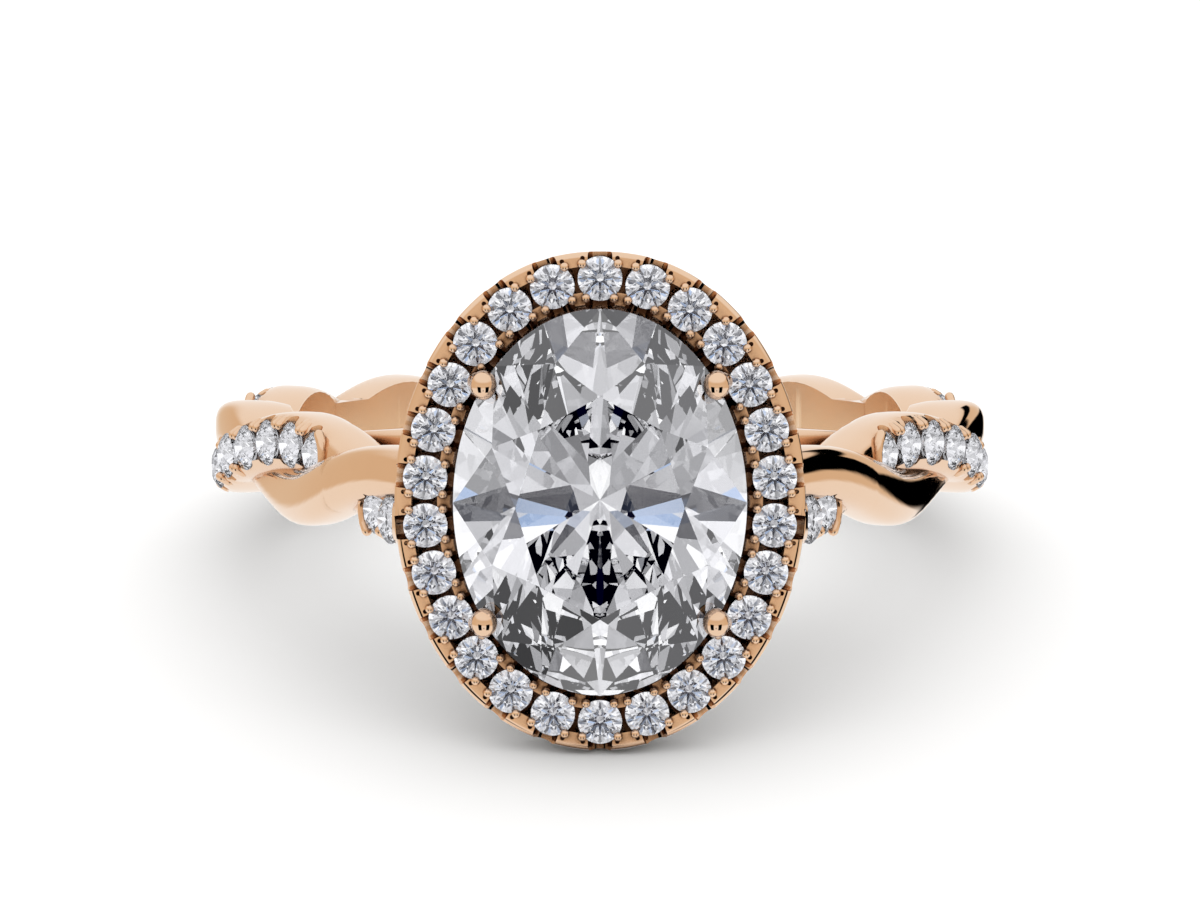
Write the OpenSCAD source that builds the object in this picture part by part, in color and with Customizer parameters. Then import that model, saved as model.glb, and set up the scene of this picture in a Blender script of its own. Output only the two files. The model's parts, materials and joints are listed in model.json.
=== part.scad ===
// Twisted two-strand ring with an oval halo head. It lies on its side: the finger hole points
// up, the head faces the front, and the lower halo rim and the back of the shank touch the
// ground. The head direction is forward, and the left half mirrors the right half.

/* [Finger hole] */
// Inside diameter of the ring
finger_d = 16.5; // [15:0.1:20]
// Width of the hidden inner band that closes the hole all round
inner_band_w = 1.4; // [1:0.05:1.4]

/* [Twisted shank] */
// Thickness of the shank where one strand crosses the other
band_thick = 2.12; // [1.8:0.02:2.4]
// Thickness of one strand, measured outward
strand_thick = 1.46; // [1.3:0.02:1.6]
// Width of one strand along the finger, where the shank is widest
strand_width = 1.52; // [1.46:0.02:1.7]
// How far the strands sink into each other where they lie side by side
strand_sink = 0.24; // [0.2:0.01:0.3]
// Distance between the strand middles where one crosses over the other
cross_lift = 0.56; // [0.4:0.02:0.7]
// Squareness of a strand's section, where 2 is an ellipse
strand_square = 3; // [2:0.1:3.2]
// Width of the shank at the halo as a share of its widest place
halo_end_share = 0.82; // [0.7:0.01:1]
// Width of the back half of the shank as a share of its widest place
back_share = 0.86; // [0.7:0.01:1]
// Angle from the head at which the pave strand lies outermost
cross_at = 70; // [65:0.5:72]
// Turn of the pair for each millimetre of the shoulder
shoulder_turn = 25.5; // [24:0.5:30]
// Number of quarter turns between that crossing and the back
back_quarters = 7; // [5:2:7]
// Arc at the back over which the turning slows to a stop
calm_arc = 20; // [10:1:40]

/* [Shoulders] */
// Angle from the head at which the shoulders leave the finger circle
leave_at = 64.7; // [60:0.1:65]
// Length of shoulder over which its inner side draws back from the finger
ease_len = 4; // [2:0.5:6]
// Width of the plain bridge under the head
bridge_w = 2.3; // [1.8:0.1:2.6]
// Thickness of that bridge
bridge_thick = 1.15; // [0.9:0.05:1.4]
// Angle from the head at which the bridge ends inside the strands
bridge_end = 58; // [50:1:62]

/* [Centre stone] */
// Length of the oval stone, along the finger
stone_l = 9; // [8:0.1:10]
// Width of the oval stone
stone_w = 6.8; // [6:0.1:7.4]
// Height of the girdle above the finger hole
stone_height = 5.75; // [5.4:0.05:6.5]
// Thickness of the girdle edge
girdle = 0.18; // [0.1:0.01:0.3]

/* [Halo] */
// Number of halo stones
halo_n = 26; // [22:2:26]
// Diameter of a halo stone
halo_d = 0.96; // [0.8:0.02:0.98]
// Distance from the edge of the centre stone to the middle of the halo stones
halo_off = 0.68; // [0.66:0.01:0.75]
// Distance from that middle line to the inner edge of the halo metal
halo_in = 0.56; // [0.54:0.01:0.6]
// Metal outside the halo stones
halo_rim = 0.11; // [0.1:0.01:0.2]
// Height of the halo wall
halo_h = 1.2; // [1.1:0.05:1.4]
// How far the face of the halo lies under the girdle of the centre stone
halo_drop = 0.3; // [0.2:0.02:0.5]
// Width of the groove that the halo stones stand in
groove_w = 0.6; // [0.4:0.02:0.64]
// Depth of that groove
groove_deep = 0.25; // [0.2:0.01:0.35]
// Radius of the cut in the wall under each halo stone
scallop_r = 0.28; // [0.2:0.01:0.3]

/* [Beads] */
// Diameter of the small beads that hold the halo stones
bead_d = 0.2; // [0.16:0.01:0.22]
// How far the beads stand above the face of the halo
bead_rise = 0.13; // [0.08:0.01:0.18]
// Distance of the beads from the middle line of the halo
bead_off = 0.37; // [0.35:0.01:0.4]
// Distance between the two beads of a pair
bead_pair = 0.16; // [0.12:0.01:0.17]

/* [Claws] */
// Diameter of the round claw tips
claw_tip_d = 0.56; // [0.5:0.02:0.6]
// Diameter of a claw where it passes the stone
claw_d = 0.44; // [0.4:0.02:0.46]
// Angle of the claws on the oval of the stone
claw_angle = 36.8; // [35:0.2:39]
// How far the middle of a claw lies outside the edge of the stone
claw_out = 0.12; // [0.08:0.01:0.14]
// How far the middle of a tip lies above the edge of the stone
claw_rise = 0.2; // [0.14:0.01:0.26]
// Sideways distance of the claw feet from the middle
claw_foot_w = 1; // [0.8:0.05:1.2]
// Lengthwise distance of the claw feet from the middle
claw_foot_l = 0.75; // [0.6:0.05:0.85]
// Height of the oval rail inside the basket above the finger hole
rail_height = 2.9; // [2.4:0.1:3.2]
// Thickness of that rail
rail_t = 0.55; // [0.4:0.05:0.7]

/* [Pave] */
// Diameter of a pave stone
pave_d = 1.04; // [0.9:0.02:1.06]
// Spacing of the pave stones along the path of the strands
pave_pitch = 1.246; // [1.24:0.002:1.4]
// Distance of the first pave stone from the hidden end of the shoulder
pave_inset = 2.74; // [2.6:0.02:2.9]
// How far the strand may turn away from facing outward and still be set
pave_turn = 140; // [110:1:142]
// Last angle from the head that is set with stones
pave_last = 150; // [100:1:150]
// Depth of the stone edge under the top of the strand
pave_sink = 0.12; // [0.08:0.01:0.16]
// Diameter of the posts between the pave stones
post_d = 0.26; // [0.2:0.01:0.28]
// Sideways distance of the posts from the row
post_off = 0.42; // [0.4:0.01:0.46]

/* [Fit] */
// Gap between a stone and its seat
seat_gap = 0.015; // [0.01:0.005:0.03]

/* [Hidden] */
// Brilliant cut: table, crown height, pavilion depth and edge as shares of the width
TABLE = 0.57;
CROWN = 0.15;
PAVILION = 0.43;
EDGE = 0.03;
// Middle points of the crown and of the pavilion as shares of the radius
CROWN_MID = 0.79;
PAVILION_MID = 0.22;
// Light hole under a small stone as a share of its diameter
LIGHT_HOLE = 0.2;
// Inside the finger circle the strands reach this much deeper, and the hole trims them
INNER_STRETCH = 1.9;
// How far one piece of metal runs into the next
BURY = 0.2;
// Where the shank is narrow behind the shoulder and widest on it, as shares of its radius
NARROW_FROM = 0.4;
WIDEST_FROM = 0.3;
WIDEST_TO = 0.45;
// Thickness of a claw's foot as a share of the claw's own
CLAW_FOOT = 1.2;
// Steps round one strand, and distance between two stations of the path
ARC_STEPS = 9;
STATION = 0.48;
ROSE_GOLD = [0.91, 0.72, 0.6];
DIAMOND = [0.86, 0.92, 0.97];

finger_r = finger_d / 2;
strand_out = strand_thick / 2;
orbit_out = cross_lift / 2;
widest_side = strand_width / 2;
widest_orbit = (strand_width - strand_sink) / 2;
strand_side = widest_side * back_share;
orbit_side = widest_orbit * back_share;
mid_r = finger_r + band_thick - strand_out - orbit_out;
mm_per_deg = mid_r * PI / 180;

// Levels of the head, measured forward from the axis of the finger hole
girdle_v = finger_r + stone_height;
table_v = girdle_v + girdle / 2 + CROWN * stone_w;
halo_v = girdle_v - halo_drop;
halo_back_v = halo_v - halo_h;
halo_out = halo_d / 2 + halo_rim;
head_half_w = stone_w / 2 + halo_off + halo_out;
head_half_l = stone_l / 2 + halo_off + halo_out;

// Places along the path: s is 0 where the shoulder leaves the finger circle, positive up the
// shoulder and negative round the circle to the back
cross_s = (leave_at - cross_at) * mm_per_deg;
back_s = (leave_at - 180) * mm_per_deg;
end_half_w = head_half_w - 2 * BURY - (orbit_out + strand_out) * sin(leave_at);
end_s = (mid_r * sin(leave_at) - end_half_w) / cos(leave_at);
back_len = cross_s - back_s;
calm_len = calm_arc * mm_per_deg;
back_turn = back_quarters * 90 / (back_len - calm_len / 2);

// Resting pose: the lower edge of the halo and the back of the shank share one level
function strand_reach(x, y) = let (q = strand_square / (strand_square - 1))
    pow(pow(abs(strand_out * x), q) + pow(abs(strand_side * y), q), 1 / q);
function settle(t, rounds) = rounds == 0 ? t :
    settle(atan((head_half_l - orbit_side - strand_reach(tan(t), 1)) / (halo_back_v + mid_r)), rounds - 1);
tilt = settle(10, 4);
lift = head_half_l * cos(tilt) - halo_back_v * sin(tilt);
front_y = -table_v * cos(tilt) - TABLE * stone_l / 2 * sin(tilt);
back_y = mid_r * cos(tilt) + orbit_side * sin(tilt) + strand_reach(cos(tilt), sin(tilt));

HALO_NAMES = [for (i = [1:halo_n]) str("halo_stone_", i)];

// Lays the upright ring down on its side, with the middle of its box over the origin
module resting() {
    translate([0, -(front_y + back_y) / 2, lift]) rotate([-tilt, 0, 0]) children();
}

// Path of the strand pair
function path_at(s) = s > 0 ? leave_at : leave_at - s / mm_per_deg;
function path_out(s) = [sin(path_at(s)), -cos(path_at(s)), 0];
function path_mid(s) = mid_r * path_out(s) - max(s, 0) * [cos(leave_at), sin(leave_at), 0];

// Turn of the pair: 0 where the pave strand lies outermost, 90 where it lies on top
function eased(d) = d < back_len - calm_len ? d : d - pow(d - back_len + calm_len, 2) / (2 * calm_len);
function pair_turn(s) = s > cross_s ? shoulder_turn * (s - cross_s) : -back_turn * eased(cross_s - s);
function facing_turn(s) = let (t = pair_turn(s)) t - 360 * round(t / 360);
function inner_stretch(s) = s < 0 ? INNER_STRETCH
    : max(1, INNER_STRETCH - (INNER_STRETCH - 1) * s / ease_len);

// Width of the shank along the path, as a share: rows of [s, share], eased from row to row
WIDTHS = [[back_s, back_share], [-NARROW_FROM * mid_r, back_share], [WIDEST_FROM * mid_r, 1],
    [WIDEST_TO * mid_r, 1], [end_s - strand_width, halo_end_share], [end_s, halo_end_share]];
function width_row(s, k = 0) = k + 2 == len(WIDTHS) || s < WIDTHS[k + 1][0] ? k : width_row(s, k + 1);
function width_share(s) =
    let (a = WIDTHS[width_row(s)], b = WIDTHS[width_row(s) + 1], x = (s - a[0]) / (b[0] - a[0]))
    a[1] + (b[1] - a[1]) * (1 - cos(180 * x)) / 2;

// A strand's section of unit size, which is a circle drawn towards a square
function unit_size(p) = pow(pow(abs(p.x), strand_square) + pow(abs(p.y), strand_square), 1 / strand_square);
function unit_edge(a) = let (p = [cos(a), sin(a)]) p / unit_size(p);
// Angle round the strand at c where its edge meets the other strand's edge
function crease(c, a, b, rounds) = rounds == 0 ? (a + b) / 2 :
    unit_size(2 * c + unit_edge((a + b) / 2)) > 1 ? crease(c, (a + b) / 2, b, rounds - 1)
        : crease(c, a, (a + b) / 2, rounds - 1);

// Outline of the pair across the path, as [outward, along the finger] points
function pair_outline(turn, stretch, share) =
    let (c = [orbit_out / strand_out * cos(turn), widest_orbit / widest_side * sin(turn)],
         toward = atan2(c.y, c.x),
         from = crease(c, toward, toward - 180, 16),
         to = crease(c, toward, toward + 180, 16))
    [for (side = [1, -1], i = [0:ARC_STEPS - 1])
        let (p = side * (c + unit_edge(from + (to - from) * i / ARC_STEPS)))
        [p.x * strand_out * (p.x < 0 ? stretch : 1), p.y * widest_side * share]];

function pair_ring(s, mirrored) =
    [for (p = pair_outline(pair_turn(s), inner_stretch(s), width_share(s)))
        let (q = path_mid(s) + p.x * path_out(s) + [0, 0, p.y]) [mirrored * q.x, q.y, q.z]];

// Both strands as one skin, from the left end of the path round the back to the right end
module strand_skin() {
    steps = ceil((end_s - back_s) / STATION);
    stations = [for (i = [0:steps]) end_s + (back_s - end_s) * i / steps];
    rings = concat([for (i = [0:steps]) pair_ring(stations[i], -1)],
                   [for (i = [steps - 1:-1:0]) pair_ring(stations[i], 1)]);
    n = 2 * ARC_STEPS;
    last = len(rings) - 1;
    tail = n * (last + 1);
    end_mid = path_mid(end_s);
    points = concat([for (ring = rings) each ring], [[-end_mid.x, end_mid.y, 0], end_mid]);
    sides = [for (r = [0:last - 1], i = [0:n - 1])
        let (j = (i + 1) % n, a = r * n + i, b = r * n + j)
        each [[a, a + n, b + n], [a, b + n, b]]];
    start_cap = [for (i = [0:n - 1]) [i, (i + 1) % n, tail]];
    end_cap = [for (i = [0:n - 1]) [last * n + (i + 1) % n, last * n + i, tail + 1]];
    polyhedron(points, concat(sides, start_cap, end_cap));
}

// Middle line of the halo: length along it against the angle on its ellipse
line_w = stone_w / 2 + halo_off;
line_l = stone_l / 2 + halo_off;
LINE_STEP = 2;
function line_chord(a) = LINE_STEP * PI / 180 * norm([line_w * sin(a), line_l * cos(a)]);
LINE_TABLE = [for (a = 0, run = 0; a <= 360; run = run + line_chord(a + LINE_STEP / 2), a = a + LINE_STEP)
    [run, a]];
line_len = LINE_TABLE[len(LINE_TABLE) - 1][0];

// Point beside the middle line, for a share of the round that starts at the top
function line_angle(turns) = lookup((turns + 0.25) % 1 * line_len, LINE_TABLE);
function line_normal(a) = let (n = [line_l * cos(a), line_w * sin(a)]) n / norm(n);
function line_facing(turns) = let (n = line_normal(line_angle(turns))) atan2(n.y, n.x);
function line_point(turns, beside) =
    let (a = line_angle(turns)) [line_w * cos(a), line_l * sin(a)] + beside * line_normal(a);

module oval(beside) {
    n = 4 * halo_n;
    polygon([for (i = [0:n - 1]) line_point(i / n, beside)]);
}

// Stands a shape of the head, drawn in its own plane, at a level along the head
module at_level(v) {
    translate([0, -v, 0]) rotate([90, 0, 0]) children();
}

// Brilliant cut with its girdle at the origin and its table up. The outline is an ellipse.
module brilliant(w, l, edge, grow = 0) {
    crown = CROWN * w + grow;
    depth = PAVILION * w + grow;
    g = edge / 2;
    step = 22.5;
    // The middle points lie in the planes of the main facets
    crown_fall = (1 - CROWN_MID * cos(step)) / (1 - TABLE);
    pavilion_fall = 1 - PAVILION_MID * cos(step);
    function at(turn, share, z) =
        share * [(w / 2 + grow) * cos(turn), (l / 2 + grow) * sin(turn), 0] + [0, 0, z];
    points = concat(
        [for (k = [0:7]) at(2 * step * k, TABLE, g + crown)],
        [for (k = [0:7]) at(2 * step * k + step, CROWN_MID, g + crown * crown_fall)],
        [for (k = [0:15]) at(step * k, 1, g)],
        [for (k = [0:15]) at(step * k, 1, -g)],
        [for (k = [0:7]) at(2 * step * k + step, PAVILION_MID, -g - depth * pavilion_fall)],
        [[0, 0, -g - depth]]);
    // First points of the upper edge, the lower edge, the pavilion and the tip
    top = 16;
    low = 32;
    mid = 48;
    culet = 56;
    table_face = [[for (k = [7:-1:0]) k]];
    crown_faces = [for (k = [0:7]) let (next = (k + 1) % 8, before = (k + 7) % 8) each [
        [k, next, 8 + k],
        [k, 8 + k, top + 2 * k, 8 + before],
        [8 + k, top + 2 * k + 1, top + 2 * k],
        [8 + k, top + 2 * next, top + 2 * k + 1]]];
    girdle_faces = [for (k = [0:15]) let (next = (k + 1) % 16)
        [top + k, top + next, low + next, low + k]];
    pavilion_faces = [for (k = [0:7]) let (next = (k + 1) % 8, before = (k + 7) % 8) each [
        [low + 2 * k, low + 2 * k + 1, mid + k],
        [low + 2 * k + 1, low + 2 * next, mid + k],
        [low + 2 * k, mid + k, culet, mid + before]]];
    polyhedron(points, concat(table_face, crown_faces, girdle_faces, pavilion_faces));
}

module round_brilliant(d) {
    brilliant(d, d, EDGE * d);
}

// Room for a round stone: open above the girdle, a cone below it and a light hole under that
module round_seat(d, deep) {
    r = d / 2 + seat_gap;
    hole = d * LIGHT_HOLE;
    edge = EDGE * d / 2 + seat_gap;
    fall = PAVILION * d * (1 - hole / r);
    rotate_extrude($fn = 32)
        polygon([[0, -deep], [hole, -deep], [hole, -edge - fall], [r, -edge], [r, d], [0, d]]);
}

// Halo
module halo_place(i) {
    at_level(halo_v) translate(line_point(i / halo_n, 0)) children();
}

module scallop(i) {
    at_level(halo_v - halo_h / 2) translate(line_point(i / halo_n, halo_d / 4))
        rotate([0, 90, line_facing(i / halo_n)]) cylinder(r = scallop_r, h = halo_d, $fn = 24);
}

module halo_plate() {
    difference() {
        at_level(halo_back_v) linear_extrude(halo_h) difference() {
            oval(halo_out);
            oval(-halo_in);
        }
        at_level(halo_v - groove_deep) linear_extrude(halo_h) difference() {
            oval(groove_w / 2);
            oval(-groove_w / 2);
        }
        for (i = [0:halo_n - 1]) scallop(i);
    }
}

// Two pairs of small beads in each gap between two halo stones
module halo_beads() {
    spread = bead_pair / 2 / line_len;
    for (i = [0:halo_n - 1], beside = [-1, 1], along = [-1, 1])
        at_level(halo_v - groove_deep - BURY)
            translate(line_point((i + 0.5) / halo_n + along * spread, beside * bead_off))
                cylinder(d = bead_d, h = groove_deep + BURY + bead_rise, $fn = 16);
}

// Basket
claw_w = stone_w / 2 * cos(claw_angle);
claw_l = stone_l / 2 * sin(claw_angle);
claw_foot_v = finger_r + bridge_thick / 2;
rail_v = finger_r + rail_height;
// Share of a claw's height at which the rail crosses it, and the rail's size there
rail_share = (rail_v - claw_foot_v) / (girdle_v - claw_foot_v);
rail_scale = norm([(claw_foot_w + (claw_w - claw_foot_w) * rail_share) / stone_w,
    (claw_foot_l + (claw_l - claw_foot_l) * rail_share) / stone_l]);

module rod(a, b, r1, r2) {
    d = b - a;
    translate(a) rotate([0, acos(d.z / norm(d)), atan2(d.y, d.x)])
        cylinder(h = norm(d), r1 = r1, r2 = r2, $fn = 24);
}

module claw(side, end) {
    foot = [side * claw_foot_w, -claw_foot_v, end * claw_foot_l];
    neck = [side * (claw_w + claw_out), -girdle_v, end * (claw_l + claw_out)];
    tip = [side * claw_w, -girdle_v - girdle / 2 - claw_rise, end * claw_l];
    rod(foot, neck, CLAW_FOOT * claw_d / 2, claw_d / 2);
    rod(neck, tip, claw_d / 2, claw_d / 2);
    translate(tip) sphere(d = claw_tip_d, $fn = 24);
}

module rail_oval(grow) {
    n = 48;
    polygon([for (i = [0:n - 1]) let (a = 360 * i / n)
        [(rail_scale * stone_w + grow) * cos(a), (rail_scale * stone_l + grow) * sin(a)]]);
}

module basket() {
    for (side = [-1, 1], end = [-1, 1]) claw(side, end);
    at_level(rail_v - rail_t / 2) linear_extrude(rail_t) difference() {
        rail_oval(rail_t / 2);
        rail_oval(-rail_t / 2);
    }
}

module head() {
    difference() {
        union() {
            halo_plate();
            basket();
        }
        for (i = [0:halo_n - 1]) halo_place(i) round_seat(halo_d, 2 * halo_h);
        at_level(girdle_v) brilliant(stone_w, stone_l, girdle, seat_gap);
    }
    halo_beads();
}

// Shank
module bridge() {
    round_off = bridge_thick / 4;
    r = [finger_r - BURY, finger_r + bridge_thick - round_off, finger_r + bridge_thick];
    half = bridge_w / 2;
    rotate([0, 0, -90 - bridge_end]) rotate_extrude(angle = 2 * bridge_end, $fn = 96)
        polygon([[r[0], -half], [r[1], -half], [r[2], round_off - half],
            [r[2], half - round_off], [r[1], half], [r[0], half]]);
}

module inner_band() {
    rotate_extrude($fn = 96) translate([finger_r - BURY, -inner_band_w / 2])
        square([2 * BURY + orbit_out, inner_band_w]);
}

// Moves a shape that points up to the top of the pave strand, aside from its row
module on_strand(s, aside) {
    rise = orbit_out * cos(pair_turn(s)) + strand_out - pave_sink;
    side = widest_orbit * width_share(s) * sin(pair_turn(s)) + aside;
    translate(path_mid(s) + rise * path_out(s) + [0, 0, side])
        rotate([90, 0, path_at(s)]) children();
}

PAVE_S = [for (s = [end_s - pave_inset:-pave_pitch:back_s])
    if (path_at(s) <= pave_last && abs(facing_turn(s)) <= pave_turn) s];

module pave_posts() {
    for (k = [0:len(PAVE_S) - 2]) if (round((PAVE_S[k] - PAVE_S[k + 1]) / pave_pitch) == 1)
        for (aside = [-1, 1])
            on_strand((PAVE_S[k] + PAVE_S[k + 1]) / 2, aside * post_off)
                translate([0, 0, -2 * BURY]) cylinder(d = post_d, h = 2 * BURY + pave_sink, $fn = 16);
}

module both_sides() {
    children();
    mirror([1, 0, 0]) children();
}

module shank() {
    difference() {
        strand_skin();
        both_sides() for (s = PAVE_S) on_strand(s, 0) round_seat(pave_d, pave_d / 2);
        at_level(halo_back_v + BURY) linear_extrude(finger_r) oval(halo_out - BURY);
        at_level(rail_v) linear_extrude(finger_r) oval(-halo_in);
        at_level(halo_v - BURY) translate([-finger_r, -finger_r]) cube([finger_d, finger_d, finger_r]);
    }
    both_sides() pave_posts();
}

module ring_metal() {
    color(ROSE_GOLD) resting() difference() {
        union() {
            shank();
            bridge();
            inner_band();
            head();
        }
        cylinder(r = finger_r, h = 2 * stone_l, center = true, $fn = 128);
    }
}

module centre_stone() {
    color(DIAMOND) resting() at_level(girdle_v) brilliant(stone_w, stone_l, girdle);
}

module halo_stone(i) {
    color(DIAMOND) resting() halo_place(i) round_brilliant(halo_d);
}

module pave_field(mirrored) {
    color(DIAMOND) resting() mirror([mirrored, 0, 0])
        for (s = PAVE_S) on_strand(s, 0) round_brilliant(pave_d);
}

ring_metal();
centre_stone();
for (i = [0:halo_n - 1]) halo_stone(i);
pave_field(1);  // pave_left
pave_field(0);  // pave_right
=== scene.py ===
"""Looks of the twisted ring with an oval halo head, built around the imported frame."""
import json
import math

import bmesh
import bpy
import numpy as np
from mathutils import Matrix, Vector

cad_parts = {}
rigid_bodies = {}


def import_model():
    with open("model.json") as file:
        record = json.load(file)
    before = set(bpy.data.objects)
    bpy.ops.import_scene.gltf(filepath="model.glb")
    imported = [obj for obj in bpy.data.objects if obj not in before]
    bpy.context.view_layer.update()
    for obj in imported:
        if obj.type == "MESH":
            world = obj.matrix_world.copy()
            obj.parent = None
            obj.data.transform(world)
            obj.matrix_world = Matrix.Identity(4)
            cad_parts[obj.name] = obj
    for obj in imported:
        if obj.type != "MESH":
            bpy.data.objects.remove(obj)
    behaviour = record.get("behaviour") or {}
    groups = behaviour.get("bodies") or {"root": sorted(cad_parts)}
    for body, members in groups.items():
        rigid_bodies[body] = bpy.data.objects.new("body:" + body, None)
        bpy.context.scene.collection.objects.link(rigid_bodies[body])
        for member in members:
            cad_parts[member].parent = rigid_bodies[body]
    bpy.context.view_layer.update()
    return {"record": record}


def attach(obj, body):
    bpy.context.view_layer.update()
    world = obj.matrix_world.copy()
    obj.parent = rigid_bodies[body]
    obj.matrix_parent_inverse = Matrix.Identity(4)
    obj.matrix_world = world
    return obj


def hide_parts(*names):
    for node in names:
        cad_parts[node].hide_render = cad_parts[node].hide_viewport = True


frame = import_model()

MM = 0.001
DEG = math.pi / 180

# Shank, in millimetres and degrees
FINGER_R = 8.25
BAND_THICK = 2.12
STRAND_THICK = 1.46
STRAND_WIDTH = 1.52
STRAND_SINK = 0.24
CROSS_LIFT = 0.56
STRAND_SQUARE = 3
HALO_END_SHARE = 0.82
BACK_SHARE = 0.86
CROSS_AT = 70
SHOULDER_TURN = 25.5
BACK_QUARTERS = 7
CALM_ARC = 20
LEAVE_AT = 64.7
EASE_LEN = 4
INNER_STRETCH = 1.9
NARROW_FROM = 0.4
WIDEST_FROM = 0.3
WIDEST_TO = 0.45
INNER_BAND_W = 1.4
INNER_BAND_T = 0.5
BRIDGE_W = 2.3
BRIDGE_THICK = 1.15
BRIDGE_END = 66
BRIDGE_END_SHARE = 0.5
BRIDGE_DRAWN = (1.35, 1.45)
HOLE_SPARE = 0.1
BURY = 0.2

# Head
STONE_L = 9
STONE_W = 6.8
STONE_HEIGHT = 5.75
GIRDLE = 0.18
HALO_N = 26
HALO_D = 0.96
HALO_OFF = 0.68
HALO_IN = 0.72
HALO_RIM = 0.11
HALO_H = 1.2
HALO_DROP = 0.3
GROOVE_W = 0.6
GROOVE_DEEP = 0.95
HALO_FOOT = ((0.3, 0), (0.12, 0.04), (0.02, 0.25))
HALO_INNER_FOOT = 0.05
WINDOW_R = 0.28
WINDOW_DOWN = 0.62
CLAW_D = 0.44
CLAW_ANGLE = 36.8
CLAW_OUT = 0.12
CLAW_RISE = 0.2
CLAW_FOOT_W = 1
CLAW_FOOT_L = 0.75
CLAW_FOOT = 1.2
RAIL_HEIGHT = 2.9
RAIL_T = 0.55
RAIL_STEPS = 96

# Pave
PAVE_PITCH = 1.246
PAVE_INSET = 2.74
PAVE_TURN = 140
PAVE_LAST = 150
PAVE_SINK = 0.12

# Brilliant cut, as shares of the width, and its middle points as shares of the radius
TABLE = 0.57
CROWN = 0.15
PAVILION = 0.43
EDGE = 0.03
CROWN_MID = 0.79
PAVILION_MID = 0.22

# Fine detail of the looks
HOLE_STEPS = 720
CLEAR_STEPS = 208
SMOOTH_UNDER = 32
STONE_GAP = 0.004
ROOM_SHARE = 1.002
SEAT_SCOOP = 0.01
LIGHT_HOLE = 0.2
EDGE_ROUND = 0.07
RIM_ROUND = 0.14
LIP = 0.11
LIP_TOP = 0.03
LIP_TOP_REACH = 1.3
LIP_H = 0.45
LIP_BEND = (0.75, 0.5)
SHOULDER_SINK = 0.05
SKIN_SHARE = 0.9992
INNER_ROUND = 0.14
HALO_CUT_D = 1.03
U_CUT_R = 0.29
U_CUT_RISE = 0.04
HALO_BEAD_D = 0.22
HALO_BEAD_OFF = (-0.43, 0.36)
HALO_BEAD_PAIR = 0.37
HALO_BEAD_RISE = 0.07
HALO_BEAD_DEEP = 0.5
PIT_R = 0.055
PIT_OFF = (-0.58, 0.49)
PIT_PAIR = 0.42
PIT_DEEP = 0.3
CLAW_EGG = (0.31, 0.345)
CLAW_EGG_SHIFT = (-0.04, 0.06)
PAVE_CUT_D = 1.15
PAVE_CROWN_ROOM = 0.22
PAVE_FIRST_SHIFT = 0.3
END_RIM_R = 0.13
END_RIM_OFF = 0.13
END_RIM_RISE = 0.04
END_RIM_ARC = (50, 82)
PAVE_CUT_R = 0.24
PAVE_CUT_RISE = 0.02
PAVE_CUT_OVER = 0.04
PAVE_CUT_SHORT = 0.1
PAVE_CUT_NEAR = 0.5
PAVE_RUN_GAP = 1.5
PAVE_CHANNEL_W = 0.8
PAVE_CHANNEL_H = 1
PAVE_CHANNEL_DEEP = 0.12
PAVE_CHANNEL_STEPS = 8
RIB_D = 0.25
RIB_PAIR = 0.26
RIB_IN = 0.45
RIB_OUT = 0.56
RIB_FALL = 0.16
RIB_RISE = 0.02
RIB_NEAR = 0.6

STRAND_OUT = STRAND_THICK / 2
ORBIT_OUT = CROSS_LIFT / 2
WIDEST_SIDE = STRAND_WIDTH / 2
WIDEST_ORBIT = (STRAND_WIDTH - STRAND_SINK) / 2
MID_R = FINGER_R + BAND_THICK - STRAND_OUT - ORBIT_OUT
MM_PER_DEG = MID_R * DEG
GIRDLE_V = FINGER_R + STONE_HEIGHT
HALO_V = GIRDLE_V - HALO_DROP
HALO_BACK_V = HALO_V - HALO_H
HALO_OUT = HALO_D / 2 + HALO_RIM
HEAD_HALF_W = STONE_W / 2 + HALO_OFF + HALO_OUT
RAIL_V = FINGER_R + RAIL_HEIGHT
LEAVE = LEAVE_AT * DEG
CROSS_S = (LEAVE_AT - CROSS_AT) * MM_PER_DEG
BACK_S = (LEAVE_AT - 180) * MM_PER_DEG
END_HALF_W = HEAD_HALF_W - 2 * BURY - (ORBIT_OUT + STRAND_OUT) * math.sin(LEAVE)
END_S = (MID_R * math.sin(LEAVE) - END_HALF_W) / math.cos(LEAVE)
BACK_LEN = CROSS_S - BACK_S
CALM_LEN = CALM_ARC * MM_PER_DEG
BACK_TURN = BACK_QUARTERS * 90 / (BACK_LEN - CALM_LEN / 2)


def resting():
    """Turns the upright ring, in millimetres, to where it lies in the frame, in metres."""
    hole = next(m for m in frame["record"]["mounts"] if m["name"] == "finger_hole")
    tilt = math.atan2(hole["axis"][1], hole["axis"][2])
    return Matrix.Translation(hole["pos_m"]) @ Matrix.Rotation(-tilt, 4, "X") @ Matrix.Scale(MM, 4)


at_rest = resting()


# Path of the strand pair: s is 0 where the shoulder leaves the finger circle
def path_at(s):
    return np.where(s > 0, LEAVE_AT, LEAVE_AT - s / MM_PER_DEG) * DEG


def path_out(s):
    at = path_at(s)
    return np.stack([np.sin(at), -np.cos(at), 0 * at], -1)


def path_mid(s):
    straight = np.array([math.cos(LEAVE), math.sin(LEAVE), 0])
    return MID_R * path_out(s) - np.maximum(s, 0)[..., None] * straight


def eased(d):
    over = np.maximum(d - BACK_LEN + CALM_LEN, 0)
    return d - over ** 2 / (2 * CALM_LEN)


def pair_turn(s):
    return np.where(s > CROSS_S, SHOULDER_TURN * (s - CROSS_S), -BACK_TURN * eased(CROSS_S - s))


def facing_turn(s):
    turn = pair_turn(s)
    return turn - 360 * np.round(turn / 360)


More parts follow.
